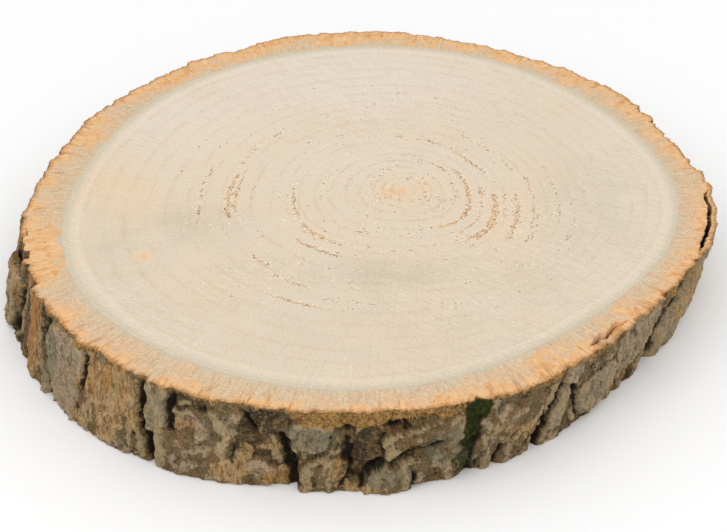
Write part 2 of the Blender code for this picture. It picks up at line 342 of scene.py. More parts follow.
def bark_scales(points, size, salt):
    """Scales of bark: a random level from -1 to 1 for each, and how far a place is from its scale's edge."""
    gaps, middles = [], []
    for place in (points / size + salt).reshape(-1, 3).tolist():
        away, nearest = noise.voronoi(place)
        gaps.append((away[1] - away[0]) * size)
        middles.append(tuple(nearest[0]))
    mixed = np.array(middles) @ (12.9898, 78.233, 37.719)
    level = (np.sin(mixed) * 437.58) % 1 * 2 - 1
    return level.reshape(points.shape[:-1]), np.reshape(gaps, points.shape[:-1])


def draw_hidden_bark():
    """Plates and fissures for the side that is out of sight: columns of two plates with fissures between."""
    draw = random.Random(HIDDEN_SEED)
    tones = random.Random(HIDDEN_SEED + 1)
    plates, fissures = [], []
    first = HIDDEN_FROM
    while first < HIDDEN_TO:
        last = first + draw.uniform(7, 12)
        split = draw.uniform(9, 26)
        tilt = draw.uniform(-12, 12)
        plates.append((first, last, -5, split, tilt, draw.uniform(0.2, 2.4), tones.uniform(-0.5, 0.9)))
        plates.append((first, last, split + 1, 40, tilt, draw.uniform(-0.8, 0.8), tones.uniform(-0.5, 0.9)))
        lean = draw.uniform(-2.5, 2.5)
        width = draw.uniform(4.5, 7.0)
        fissures.append((width, draw.uniform(3.0, 5.5), (last, 32), (last + lean / 2, 18), (last + lean, -2)))
        first = last
    return plates, fissures


HIDDEN_PLATES, HIDDEN_FISSURES = draw_hidden_bark()


def inside_plate(angle, height, plate, radius):
    """How far each place on the side lies inside a plate's rounded outline; negative outside it."""
    first, last, bottom, top, tilt = plate[:5]
    half_span = math.radians(last - first) / 2 * radius
    half_rise = (top - bottom) / 2
    corner = min(half_span, half_rise) * 0.6
    along = rim_length(angle, (first + last) / 2, radius)
    up = height - (bottom + top) / 2
    turn = math.radians(tilt)
    past_side = np.abs(along * math.cos(turn) + up * math.sin(turn)) - half_span + corner
    past_end = np.abs(up * math.cos(turn) - along * math.sin(turn)) - half_rise + corner
    outside = np.hypot(np.maximum(past_side, 0), np.maximum(past_end, 0))
    return corner - outside - np.minimum(np.maximum(past_side, past_end), 0)


def plate_relief(angle, height, radius, edge):
    """How far the plates stand out at each place on the side, their tone, and the way to the nearest edge."""
    lift = np.zeros(angle.shape)
    tone = np.zeros(angle.shape)
    border = np.full(angle.shape, 9.0)
    for plate in (*PLATES, *HIDDEN_PLATES):
        inside = inside_plate(angle, height, plate, radius)
        share = smooth_step(-edge / 2, edge / 2, inside)
        lift += (plate[5] - lift) * share
        tone += (plate[6] - tone) * share
        border = np.where(inside > 0, inside, np.minimum(border, -inside))
    return lift, tone, border


def fissure_depth(angle, height, radius):
    """Depth of the deepest fissure at each place on the side."""
    deepest = np.zeros(angle.shape)
    for width, depth, *path in (*FISSURES, *HIDDEN_FISSURES):
        nearest = np.full(angle.shape, np.inf)
        for (angle_a, height_a), (angle_b, height_b) in zip(path, path[1:]):
            run, rise = rim_length(angle_b, angle_a, radius), height_b - height_a
            along, up = rim_length(angle, angle_a, radius), height - height_a
            share = np.clip((along * run + up * rise) / (run * run + rise * rise), 0, 1)
            nearest = np.minimum(nearest, np.hypot(along - share * run, up - share * rise))
        away = np.minimum(nearest / (width / 2), 1)
        deepest = np.maximum(deepest, depth * (1 - away ** 1.5))
    return deepest


def patches(angle, height, radius, table):
    """Strength of the strongest oval patch at each place on the side."""
    strongest = np.zeros(angle.shape)
    for middle, level, half_width, half_height, strength in table:
        along = rim_length(angle, middle, radius) / (math.radians(half_width) * radius)
        away = np.hypot(along, (height - level) / half_height)
        strongest = np.maximum(strongest, strength * smooth_step(-1.15, -0.6, -away))
    return strongest


def rolled(angle, radius, height):
    """Places given round an upright axis, as points."""
    turn = np.radians(angle)
    return np.stack(np.broadcast_arrays(radius * np.cos(turn), radius * np.sin(turn), height), axis=-1)


def placed(angle, radius, height, sizes):
    """Places given round the leaning log, as points in metres."""
    points = rolled(angle, radius, height)
    points[..., 0] += sizes.lean * (height / THICKNESS - 0.5)
    return points * MM


def roll_sheet(name, around, stations):
    """A flat sheet of quads to be rolled round the log, with each corner's step round it and its station."""
    bpy.ops.object.select_all(action="DESELECT")
    bpy.ops.mesh.primitive_grid_add(x_subdivisions=around, y_subdivisions=stations, size=1.0)
    sheet = bpy.context.object
    sheet.name = sheet.data.name = name
    flat = np.empty(len(sheet.data.vertices) * 3)
    sheet.data.vertices.foreach_get("co", flat)
    flat = flat.reshape(-1, 3) + 0.5
    step, station = np.rint(flat[:, :2] * (around, stations)).astype(int).T
    return sheet, step % around, station


def close_sheet(sheet, points, attributes, sharp_from):
    """Rolls a sheet onto its points, joins its seams, and shades it smooth apart from its sharp edges."""
    mesh = sheet.data
    mesh.vertices.foreach_set("co", points.ravel())
    for name, values in attributes.items():
        mesh.attributes.new(name, "FLOAT", "POINT").data.foreach_set("value", values.astype(np.float32))
    bpy.ops.object.mode_set(mode="EDIT")
    bpy.ops.mesh.select_all(action="SELECT")
    bpy.ops.mesh.remove_doubles(threshold=1e-7)
    bpy.ops.mesh.normals_make_consistent(inside=False)
    bpy.ops.object.mode_set(mode="OBJECT")
    bpy.ops.object.shade_smooth_by_angle(angle=math.radians(sharp_from))
    sheet.location = (0, 0, 0)


def wear(piece, material, slot, *nodes):
    """Gives a piece its material and body, and lets it stand for CAD nodes. The slot argument is not used."""
    piece.data.materials.clear()
    piece.data.materials.append(material)
    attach(piece, "root")
    if nodes:
        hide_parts(*nodes)


class Finish:
    """A material's node tree, with a short way to add each kind of node that the finishes use."""

    def __init__(self, name, roughness, specular):
        self.material = bpy.data.materials.new(name)
        self.material.use_nodes = True
        self.tree = self.material.node_tree
        self.shader = self.tree.nodes["Principled BSDF"]
        self.shader.inputs["Roughness"].default_value = roughness
        self.shader.inputs["Specular IOR Level"].default_value = specular
        self.place = self.tree.nodes.new("ShaderNodeTexCoord").outputs["Object"]

    def add(self, kind, output, inputs, **settings):
        node = self.tree.nodes.new(kind)
        for name, value in settings.items():
            setattr(node, name, value)
        for name, value in inputs.items():
            if isinstance(value, bpy.types.NodeSocket):
                self.tree.links.new(value, node.inputs[name])
            else:
                node.inputs[name].default_value = value
        return node.outputs[output]

    def attribute(self, name):
        return self.add("ShaderNodeAttribute", "Fac", {}, attribute_name=name)

    def vector(self, operation, *inputs):
        return self.add("ShaderNodeVectorMath", "Vector", dict(enumerate(inputs)), operation=operation)

    def number(self, operation, *inputs):
        return self.add("ShaderNodeMath", "Value", dict(enumerate(inputs)), operation=operation)

    def stretched(self, vector, scale, turn=0.0):
        """A vector turned about Z by an angle in degrees and then scaled."""
        turned = self.add("ShaderNodeVectorRotate", "Vector",
                          {"Vector": vector, "Angle": math.radians(turn)}, rotation_type="Z_AXIS")
        return self.vector("MULTIPLY", turned, scale)

    def direction(self, centre, sharpness, depth):
        """The direction from a centre, with a little of the place, for streaks that point to the centre."""
        flat = self.vector("MULTIPLY", self.vector("SUBTRACT", self.place, centre), (1, 1, 0))
        spread = self.vector("MULTIPLY", self.vector("NORMALIZE", flat), (sharpness,) * 3)
        return self.vector("ADD", spread, self.vector("MULTIPLY", self.place, (depth,) * 3))

    def noise(self, vector, grain_mm, detail=2.0, roughness=0.5, output="Fac"):
        """Noise from 0 to 1 with lumps of about the given size."""
        inputs = {"Vector": vector, "Scale": 1 / (grain_mm * MM), "Detail": detail, "Roughness": roughness}
        return self.add("ShaderNodeTexNoise", output, inputs)

    def shaken(self, vector, grain_mm, detail, roughness, way_mm):
        """A vector moved by noise, by as much as a given way."""
        shift = self.noise(self.place, grain_mm, detail, roughness, "Color")
        return self.vector("ADD", vector, self.vector("MULTIPLY", shift, (way_mm * MM,) * 3))

    def cells(self, vector, grain_mm, feature="F1"):
        return self.add("ShaderNodeTexVoronoi", "Distance",
                        {"Vector": vector, "Scale": 1 / (grain_mm * MM)}, feature=feature)

    def step(self, value, low, high, start=0.0, end=1.0):
        """A smooth step of a value, from start below low to end above high."""
        return self.add("ShaderNodeMapRange", "Result",
                        {"Value": value, "From Min": low, "From Max": high, "To Min": start, "To Max": end},
                        interpolation_type="SMOOTHSTEP")

    def times(self, first, second):
        return self.number("MULTIPLY", first, second)

    def scaled(self, value, factor, shift=0.0):
        return self.number("MULTIPLY_ADD", value, factor, shift)

    def shifted(self, value, noise, amount):
        """A value moved up and down by noise, by half the amount either way."""
        return self.number("ADD", value, self.scaled(noise, amount, -amount / 2))

    def mix(self, share, first, second):
        """A mix of two colours, each a socket or a linear colour."""
        colours = [colour if isinstance(colour, bpy.types.NodeSocket) else (*colour, 1.0)
                   for colour in (first, second)]
        return self.add("ShaderNodeMix", 2, {0: share, 6: colours[0], 7: colours[1]}, data_type="RGBA")

    def tint(self, colour, *layers):
        """A colour with others laid on it, each as its value goes from low to high, by a share of most."""
        for value, low, high, most, over in layers:
            colour = self.mix(self.step(value, low, high, 0, most), colour, over)
        return colour

    def bump(self, height, distance_mm, strength=1.0, below=None):
        inputs = {"Height": height, "Distance": distance_mm * MM, "Strength": strength}
        if below is not None:
            inputs["Normal"] = below
        return self.add("ShaderNodeBump", "Normal", inputs)

    def finish(self, colour, normal):
        self.tree.links.new(colour, self.shader.inputs["Base Color"])
        self.tree.links.new(normal, self.shader.inputs["Normal"])
        return self.material


def sawn_wood(colours):
    """Pale end grain: growth rings, stains, a paler back of the top face painted as light, torn pores with a
    painted highlight beside them, rays from the pith and the saw's fine lines.
    """
    wood = Finish("sawn poplar", 0.62, 0.25)
    ring = wood.attribute("ring")
    glow = wood.attribute("glow")
    colour = wood.tint(colours.cream, (wood.noise(wood.place, 38, 3), 0.4, 0.7, 0.25, colours.warm))
    stain = wood.times(wood.attribute("grey_stain"), wood.step(wood.noise(wood.place, 22, 4, 0.6), 0.25, 0.7))
    colour = wood.mix(wood.scaled(stain, 0.7), colour, colours.grey)
    # Paler wood, partly painted light: the back of the top face is drawn lighter
    colour = wood.mix(wood.scaled(wood.attribute("pale_patch_and_painted_light"), 0.7), colour, linear(233, 223, 208))
    warm = wood.times(wood.attribute("warm_stain"), wood.step(wood.noise(wood.place, 16, 3), 0.2, 0.7))
    colour = wood.mix(wood.scaled(warm, 0.8), colour, colours.warm)
    colour = wood.tint(
        colour,
        (warm, 0.75, 1.4, 0.8, linear(242, 190, 134)),
        (ring, 0.97, 0.99, 0.75, colours.pale))
    seam = wood.times(wood.step(ring, 0.94, 0.955), wood.step(ring, 0.97, 0.96, 0, 0.25))
    colour = wood.mix(seam, colour, linear(240, 228, 208))

    faint = wood.step(wood.noise(wood.place, 12, 2), 0.3, 0.75, 0.1, 1)
    near = wood.step(ring, 0.3, 0.1, 0.35, 0.8)
    line = wood.times(wood.times(wood.attribute("ring_line"), near), faint)
    colour = wood.mix(line, colour, linear(208, 172, 128))

    saw = wood.noise(wood.stretched(wood.place, (0.1, 1, 1), 30), 0.9, 3, 0.6)
    sawn = wood.step(wood.noise(wood.place, 60, 1), 0.45, 0.6)
    rays = wood.noise(wood.direction((PITH[0] * MM, PITH[1] * MM, 0), 0.09, 0.05), 0.9, 2)
    flecks = wood.noise(wood.place, 1.0, 5, 0.8)
    colour = wood.mix(wood.times(wood.step(saw, 0.45, 0.7, 0, 0.2), sawn), colour, linear(192, 174, 148))
    colour = wood.mix(wood.times(wood.step(saw, 0.5, 0.3, 0, 0.3), sawn), colour, linear(240, 228, 208))
    colour = wood.tint(
        colour,
        (rays, 0.5, 0.75, 0.15, linear(190, 172, 144)),
        (flecks, 0.52, 0.7, 0.6, linear(198, 174, 142)),
        (flecks, 0.47, 0.3, 0.8, linear(248, 238, 222)))

    colour = wood.tint(colour, (glow, 0.15, 0.75, 0.7, linear(226, 176, 116)))
    specks = wood.step(wood.cells(wood.stretched(wood.place, (1, 1, 0.01)), 0.8), 0.45, 0.22)
    wide = wood.step(wood.noise(wood.place, 2.0, 2), 0.38, 0.6, 0.15, 1)
    open_pore = wood.times(wood.times(specks, wide), wood.step(wood.attribute("pore"), 0.06, 0.3))
    # Painted highlight: whitened specks on the torn fibre ends round each pore, where light catches them
    torn = wood.step(wood.noise(wood.place, 0.8, 2), 0.52, 0.64)
    torn = wood.times(torn, wood.step(glow, 0.03, 0.3, 0, 0.8))
    colour = wood.mix(torn, colour, linear(248, 238, 220))
    colour = wood.mix(open_pore, colour, colours.pore)
    dents = wood.bump(wood.scaled(open_pore, -1.0), 0.5, 0.8, wood.bump(saw, 0.14, 0.5))
    return wood.finish(colour, wood.bump(flecks, 0.14, 0.6, dents))


def inner_and_outer_bark(sizes, colours):
    """Bark: pink to orange where it is sawn, plates of grey and brown outside, tan where they have flaked,
    with painted shade in its fissures and cracks and painted highlights on its ridges.
    """
    bark = Finish("poplar bark", 0.85, 0.2)
    middle = (sizes.lean / 2 * MM, 0, 0)
    fine = bark.noise(bark.place, 1.1, 5, 0.68)
    coarse = bark.noise(bark.place, 3.4, 6, 0.72)
    blotch = bark.noise(bark.place, 7.5, 5, 0.62)
    upright = bark.noise(bark.stretched(bark.place, (1, 1, 0.16)), 1.0, 3, 0.65)
    streaks = bark.noise(bark.direction(middle, 0.136, 0.12), 0.9, 4, 0.7)
    teeth = bark.noise(bark.direction(middle, 0.136, 0.12), 3.0, 5, 0.72)
    across = bark.attribute("across")
    sawn = bark.attribute("sawn")
    bare = bark.attribute("bare")

    reach = bark.number("SUBTRACT", across, bark.attribute("orange_from"))
    reach = bark.shifted(bark.shifted(reach, teeth, 0.9), blotch, 2.4)
    band = bark.tint(
        colours.pink,
        (streaks, 0.46, 0.6, 0.7, linear(196, 164, 126)),
        (reach, -0.5, 0.1, 0.75, linear(228, 186, 142)),
        (fine, 0.5, 0.64, 0.6, linear(244, 222, 194)))
    young = bark.shifted(across, blotch, 0.8)
    band = bark.mix(bark.step(young, -0.02, 0.2, 0.65, 0), band, colours.pale)
    glow = bark.tint(
        colours.orange,
        (streaks, 0.45, 0.6, 0.8, linear(246, 208, 160)),
        (coarse, 0.5, 0.62, 0.8, linear(222, 156, 88)))
    band = bark.tint(band, (reach, 0.0, 0.25, 0.95, glow))
    rift = bark.times(bark.step(teeth, 0.57, 0.64), bark.step(across, 0.3, 0.8))
    band = bark.mix(bark.scaled(rift, 0.5), band, linear(168, 108, 54))
    band = bark.tint(band, (bark.shifted(across, fine, 0.5), 0.88, 1.02, 0.8, linear(180, 124, 64)))

    tone = bark.shifted(bark.shifted(bark.attribute("tone"), blotch, 2.0), coarse, 1.6)
    side = bark.tint(
        colours.brown,
        (tone, -0.45, -0.15, 1, colours.drab),
        (tone, 0.2, 0.55, 1, colours.silver))
    tinge = bark.noise(bark.stretched(bark.place, (1, 1, 0.6), 40), 6, 5, 0.65)
    # The edge value lays a painted highlight on raised ridges and plate lips
    side = bark.tint(
        side,
        (tinge, 0.52, 0.64, 0.5, linear(160, 116, 68)),
        (tinge, 0.45, 0.37, 0.6, linear(110, 104, 78)),
        (bark.attribute("edge"), 0.45, 1.1, 0.7, linear(212, 184, 138)),
        (bark.shifted(bark.attribute("lichen"), coarse, 2.4), 0.3, 0.8, 0.7, colours.lichen),
        (fine, 0.46, 0.34, 0.5, linear(46, 37, 23)),
        (fine, 0.54, 0.66, 0.4, linear(206, 186, 148)))

    flaked = bark.tint(
        colours.tan,
        (upright, 0.44, 0.6, 0.85, linear(144, 100, 54)),
        (coarse, 0.48, 0.62, 0.8, linear(234, 200, 146)))
    side = bark.tint(side, (bark.shifted(bare, coarse, 1.2), 0.38, 0.52, 0.9, flaked))
    bast = bark.tint(linear(206, 148, 86), (upright, 0.4, 0.65, 1, linear(160, 108, 54)))
    side = bark.tint(
        side,
        (bark.attribute("bast"), 0.3, 0.8, 0.85, bast),
        (fine, 0.42, 0.3, 0.45, linear(52, 42, 27)))
    crumble = bark.tint(colours.rust, (fine, 0.4, 0.56, 1, linear(210, 162, 92)))
    side = bark.tint(
        side,
        (bark.shifted(bark.attribute("rust"), coarse, 1.2), 0.3, 0.6, 0.9, crumble),
        (upright, 0.58, 0.72, 0.3, linear(58, 46, 28)))

    # Painted shade: fine cracks between scales are drawn dark in colour only, not cut into the surface
    bent = bark.shaken(bark.stretched(bark.place, (1, 1, 0.7)), 2.5, 4, 0.7, 4)
    crack = bark.step(bark.cells(bent, 3.4, "DISTANCE_TO_EDGE"), 0.09, 0.0)
    crack = bark.times(crack, bark.step(bark.noise(bark.place, 6.0, 2), 0.46, 0.56))
    crack = bark.times(crack, bark.step(bare, 0.5, 0.2, 0.2, 0.5))
    side = bark.mix(crack, side, linear(40, 32, 20))
    moss = bark.shifted(bark.attribute("moss"), coarse, 1.4)
    side = bark.tint(side, (moss, 0.35, 0.75, 0.95, linear(44, 50, 22)))

    colour = bark.mix(sawn, side, band)
    # Painted shade: fissures, cracks, hollows, plate seams and deep splits darken toward near black
    deep = bark.shifted(bark.attribute("deep"), fine, 0.6)
    colour = bark.tint(colour, (deep, 0.25, 0.85, 0.93, colours.fissure_shade))
    rough = bark.scaled(sawn, -0.75, 1.0)
    pits = bark.bump(fine, 1.2, rough, bark.bump(coarse, 2.0, rough))
    return bark.finish(colour, bark.bump(streaks, 0.25, 0.4, pits))


def soft_growth(name, first, second):
    """Moss or fibre: a colour that changes from tuft to tuft."""
    growth = Finish(name, 0.8, 0.2)
    patch = growth.noise(growth.place, 1.6, 3)
    colour = growth.mix(growth.step(patch, 0.3, 0.7), first, second)
    return growth.finish(colour, growth.bump(patch, 0.2, 0.4))


def ring_grid(sizes):
    """The wood's corners, by step round the log and station from the top's middle to the underside's."""
    turns = np.arange(sizes.wood_sectors) * 360 / sizes.wood_sectors
    porous = 0.68
    side_levels = np.array([0.97, 0.5, 0.03])
    under = np.linspace(1, 0, 13)
    top = np.concatenate([np.linspace(0, porous, 152), np.linspace(porous, 1, 36)[1:]])
    share = np.concatenate([top, np.ones(3), under])
    height = THICKNESS * np.concatenate([np.ones(len(top)), side_levels, np.zeros(13)])
    return turns, share, height, len(top)


def ring_number(share, angle):
    """Ring coordinate of a place: its share of the way out, less the rings' bulge to the lower right."""
    direction, spread, bulge = RING_BULGE
    off = ((angle - direction + 180) % 360 - 180) / spread
    return share * (1 - bulge * np.exp(-off * off) * (1 - smooth_step(0.5, 0.95, share)))


def scatter_pores(points, ring, angle):
    """How open the pores are at each corner of the wood's top, and the warm tint that spreads round them."""
    draw = random.Random(PORE_SEED)
    pores = []
    for level, first, last, count, strength in PORE_ROWS:
        for _ in range(count):
            place = draw.gauss(level, 0.0025), draw.uniform(first, last)
            pores.append((*place, strength * draw.uniform(0.4, 1.0)))
        for _ in range(count // 2):
            place = draw.gauss(level, 0.008), draw.gauss((first + last) / 2, (last - first) / 2)
            pores.append((*place, strength * draw.uniform(0.2, 0.5)))
    for _ in range(STRAY_PORES):
        level = draw.choice(RINGS[2:17]) + draw.gauss(0, 0.012)
        pores.append((level, draw.uniform(0, 360), draw.uniform(0.2, 0.5)))
    open_share = np.zeros(ring.shape)
    glow = np.zeros(ring.shape)
    for level, turn, strength in pores:
        column = int(round(turn % 360 / 360 * len(angle))) % len(angle)
        row = int(np.argmin(np.abs(ring[column] - level)))
        centre = points[column, row]
        columns = np.arange(column - 12, column + 13) % len(angle)
        rows = np.arange(max(row - 6, 1), min(row + 7, ring.shape[1]))
        near = np.ix_(columns, rows)
        away = points[near] - centre
        out = centre[:2] - PITH
        out /= max(np.hypot(*out), 1e-6)
        radial = away[..., 0] * out[0] + away[..., 1] * out[1]
        along = away[..., 1] * out[0] - away[..., 0] * out[1]
        length = draw.uniform(0.6, 1.2)
        dent = strength * np.exp(-((radial / 0.5) ** 2) - (along / length) ** 2)
        halo = 0.9 * strength * np.exp(-((radial / 0.75) ** 2) - (along / (2.2 * length)) ** 2)
        open_share[near] = np.maximum(open_share[near], dent)
        glow[near] = np.maximum(glow[near], halo)
    return open_share, glow


def oval_stains(points, table):
    """Strength of the strongest oval stain at each place on the wood."""
    strongest = np.zeros(points.shape[:-1])
    for x, y, half_x, half_y, strength in table:
        away = np.hypot((points[..., 0] - x) / half_x, (points[..., 1] - y) / half_y)
        strongest = np.maximum(strongest, strength * smooth_step(-1.4, 0, -away))
    return strongest


class WOODSLICE_OT_saw_wood(bpy.types.Operator):
    """Saw the disc of wood, with its growth rings and torn pores"""

    bl_idname = "woodslice.saw_wood"
    bl_label = "Saw Wood"

    def execute(self, context):
        sizes, colours = context.scene.slice_sizes, context.scene.slice_colours
        turns, share, height, top_count = ring_grid(sizes)
        stations = len(share)
        points = rolled(turns[:, None], wood_outline(turns, sizes)[:, None] * share, height)
        points[..., 0] += sizes.lean * (height / THICKNESS - 0.5) + (PITH[0] - sizes.lean / 2) * (1 - share)
        points[..., 1] += PITH[1] * (1 - share)
        ring = ring_number(share, turns[:, None])
        wobble = 0.006 * grain(points * (1, 1, 0) + (0, 0, 3.1), 14)
        phase = np.interp(ring + wobble, RINGS, np.arange(len(RINGS)))
        within = phase % 1
        line = smooth_step(0.72, 0.96, within) * (1 - smooth_step(0.97, 1.0, within))
        top = np.zeros(stations)
        top[1:top_count - 1] = 1
        torn = scatter_pores(points[:, :top_count], ring[:, :top_count], turns)
        pore, glow = (np.pad(share, ((0, 0), (0, stations - top_count))) * top for share in torn)
        points[..., 2] -= top * (0.08 * line + 0.25 * pore)
        stain_points = points - (sizes.lean / 2, 0, 0)
        values = {
            "ring": ring,
            "ring_line": line,
            "pore": pore,
            "glow": glow,
            "grey_stain": oval_stains(stain_points, GREY_STAINS),
            "warm_stain": oval_stains(stain_points, WARM_STAINS),
            "pale_patch_and_painted_light": oval_stains(stain_points, PALE_PATCHES_AND_PAINTED_LIGHT),
        }
        disc, step, station = roll_sheet("sawn_wood", len(turns), stations - 1)
        close_sheet(disc, points[step, station] * MM, {n: v[step, station] for n, v in values.items()}, 40)
        wear(disc, sawn_wood(colours), "wood", "wood")
        return {"FINISHED"}


def open_splits(turns, radius):
    """The splits at each step round the log: how far the top's corners gather and the split is open, the
    thickness and drop of the plate outside it, and its width and depth."""
    gather, opening, drop, width, depth = np.zeros((5, *turns.shape))
    plate = np.full(turns.shape, 4.0)
    for first, last, its_plate, its_drop, its_width, its_depth in SPLITS:
        half = math.radians(last - first) / 2 * radius
        inside = half - np.abs(rim_length(turns, (first + last) / 2, radius))
        share = smooth_step(0, 8, inside)
        plate[inside > -5] = its_plate
        drop += its_drop * share
        width += its_width * share
        depth += its_depth * share
        gather = np.maximum(gather, smooth_step(-5, -0.5, inside))
        opening = np.maximum(opening, smooth_step(0, 3, inside))
    return gather, opening, plate, drop, width, depth


def bark_side(turns, height, below_rim, radius):
    """How far the bark stands out at each corner of its side, and what its finish needs there."""
    around = rolled(turns, radius, height)
    shakes = [grain(around, 4.0, salt) + 0.5 * grain(around, 1.7, salt) for salt in (11, 23, 37)]
    ragged = np.stack(shakes, axis=-1)
    angle = turns + np.degrees(1.4 * ragged[..., 0] / radius)
    level = height + 1.4 * ragged[..., 1]
    lift, tone, border = plate_relief(angle, level, radius, 0.8)
    torn_angle = angle + np.degrees(0.9 * grain(around * (1, 1, 0.6), 2.4, 97.0) / radius)
    cleft = fissure_depth(torn_angle, level, radius) * (1 - 0.75 * smooth_step(7, 1, below_rim))
    bare = patches(angle, level, radius, BARE_PATCHES)
    rust = patches(angle, level, radius, RUST_PATCHES)

    scale, gap = bark_scales((around + ragged) * (1, 1, 0.6), 5.5, 3.0)
    flake, flake_gap = bark_scales((around + 0.7 * ragged) * (1, 1, 0.7), 2.6, 9.0)
    smooth_share = np.maximum(smooth_step(0.35, 0.7, bare), smooth_step(-0.25, -0.5, tone))
    scaly = 1 - 0.75 * smooth_share
    broken = smooth_step(-0.05, 0.35, grain(around, 9.0, 61.0))
    cracks = (1 - smooth_step(0.05, 0.6, gap)) * broken
    seam = np.exp(-((border / 0.7) ** 2)) * smooth_step(1.0, 4.0, below_rim)
    seam = seam * smooth_step(-0.3, 0.3, grain(around, 8.0, 67.0))
    crumbly = np.maximum(smooth_step(0.3, 0.7, rust), smooth_step(4, 0, below_rim))

    coarse = 1.0 * grain(around * (1, 1, 0.5), 6.0) + 0.5 * grain(around * (1, 1, 0.7), 2.6, 53.0)
    relief = lift - cleft + coarse + scaly * (0.4 * scale - 0.6 * cracks)
    relief += scaly * (0.3 * flake - 0.2 * (1 - smooth_step(0.0, 0.5, flake_gap)) * broken) - 0.6 * seam
    grooves = grain(around * (1, 1, 0.12), 1.3, 71.0)
    relief += 0.22 * rough_grain(around, 1.5, 2) + 0.3 * smooth_share * grooves
    relief += 0.6 * rough_grain(around, 2.4, 2) * crumbly

    # The deep value marks where shade is painted: fissures, cracks between scales, places lower than those
    # round them, and plate seams
    blurred = relief.copy()
    for way in (2, 3, 5):
        blurred = (blurred + np.roll(blurred, way, 0) + np.roll(blurred, -way, 0)) / 3
    hollow = smooth_step(0.3, 1.6, blurred - relief)
    recess = smooth_step(1.2, 4.0, cleft) + 0.4 * cracks * scaly + 0.6 * hollow
    # Painted highlight: places standing above those round them, and a thin line about 1.6 mm from each
    # plate's border, get a lighter colour as lit ridges
    lit_ridges = smooth_step(0.1, 0.9, relief - blurred) + 0.5 * np.exp(-((border - 1.6) ** 2)) * (1 - smooth_share)
    flaky = 0.3 * scale + 0.15 * flake
    rim_rust = 0.5 * smooth_step(2.4, 0.4, below_rim) + 0.4 * flaky
    values = {
        "tone": tone * 0.8 + scaly * (0.3 * scale + 0.3 * flake),
        "deep": np.clip(recess + 0.45 * seam, 0, 1),
        "edge": lit_ridges,
        "bare": bare + flaky * smooth_step(0.02, 0.2, bare),
        "rust": np.maximum(rust + flaky * smooth_step(0.02, 0.2, rust), rim_rust),
        "bast": patches(angle, level, radius, BAST_STRIPS),
        "lichen": patches(angle, level, radius, LICHEN_PATCHES),
        "moss": patches(angle, level, radius, MOSS_PATCHES),
    }
    return relief, values


def bark_grid(sizes):
    """The bark's corners round its section, by step round the log, with what the finish needs at each."""
    radius = sizes.bark_radius
    turns = np.arange(sizes.bark_sectors)[:, None] * 360 / sizes.bark_sectors
    inner = wood_outline(turns, sizes)
    gather, opening, plate, drop, width, depth = open_splits(turns, radius)

    highest = THICKNESS - CHAMFER - drop
    height = highest + (CHAMFER - highest) * np.linspace(0, 1, SIDE_STATIONS)
    relief, side_values = bark_side(turns, height, highest - height, radius)
    side = outline(radius, BARK_LOBES, turns) + relief

    lip = side[:, :1] - CHAMFER
    beside = np.where(height >= highest - depth, side, np.inf).min(axis=1, keepdims=True)
    outer = np.minimum(np.minimum(side[:, :1] - plate, beside - LEAST_WALL), lip - LEAST_WALL)
    split_inner = outer - np.maximum(width, 0.15)
    last_wall = BAND_STEPS + 2 * WALL_STEPS
    walls = slice(BAND_STEPS, last_wall + 1)
    wall_share = np.linspace(-1, 1, 2 * WALL_STEPS + 1)
    wall_share = 0.5 + 0.5 * np.sign(wall_share) * np.abs(wall_share) ** 0.6
    even = inner + (lip - inner) * np.linspace(0, 1, last_wall + LIP_STEPS + 1)
    gathered = np.empty(even.shape)
    gathered[:, :BAND_STEPS + 1] = inner + (split_inner - inner) * np.linspace(0, 1, BAND_STEPS + 1)
    gathered[:, walls] = split_inner + (outer - split_inner) * wall_share
    gathered[:, last_wall:] = outer + (lip - outer) * np.linspace(0, 1, LIP_STEPS + 1)
    top_radius = even + (gathered - even) * gather

    well = np.zeros(even.shape)
    well[:, walls] = WELL_PROFILE
    well *= opening
    past_split = np.zeros(even.shape)
    past_split[:, BAND_STEPS + WALL_STEPS:] = 1
    across = (top_radius - inner) / (lip - inner)
    saw_marks = rolled(turns, radius, 0) + rolled(turns, top_radius, THICKNESS) * 0.12
    torn = (0.16 + 0.2 * smooth_step(0.5, 1.0, across)) * np.abs(grain(saw_marks, 1.4, 5.0))
    rim = rolled(turns, radius, highest)
    chip = 0.6 * np.abs(grain(rim, 3.0, 83.0)) + 0.3 * np.abs(grain(rim, 1.1, 89.0))
    crumbled = smooth_step(0.86, 1.0, across) * chip
    top_height = THICKNESS - 0.02 - torn - crumbled - well * depth - drop * past_split
    top_height[:, 0] = THICKNESS - 0.08

    under = np.linspace(0, 1, UNDER_STATIONS)
    under_radius = (side[:, -1:] - CHAMFER) * (1 - under) + inner * under
    under_across = (under_radius - inner) / (under_radius[:, :1] - inner)
    all_radius = np.concatenate([top_radius, side, under_radius], axis=1)
    all_height = np.concatenate([top_height, height, np.zeros(under_radius.shape)], axis=1)
    points = placed(turns, all_radius, all_height, sizes)

    def whole(top, middle, below):
        """Values for the top, the side and the underside as one table."""
        parts = zip((top, middle, below), (top_radius, side, under_radius))
        return np.concatenate([np.broadcast_to(part, like.shape) for part, like in parts], axis=1)

    angles, starts = zip(*ORANGE_FROM)
    orange_from = np.interp(turns, (*angles, 360), (*starts, starts[0]))
    still_sawn = 1 - smooth_step(0.0, 0.05, well) * smooth_step(3, 9, depth)
    still_sawn = still_sawn * (1 - past_split * smooth_step(1.6, 4.0, drop))
    # Deep splits on the top take the same painted shade
    on_top = {
        "deep": smooth_step(0.02, 0.3, well) * smooth_step(4, 14, depth),
        "rust": 0.8 * smooth_step(0.0, 0.3, well),
    }
    values = {name: whole(on_top.get(name, 0.0), value, 0.0) for name, value in side_values.items()}
    values["sawn"] = whole(still_sawn, 0.0, 1.0)
    values["across"] = whole(across, 1.0, under_across)
    values["orange_from"] = whole(orange_from, orange_from, orange_from)
    return points, values


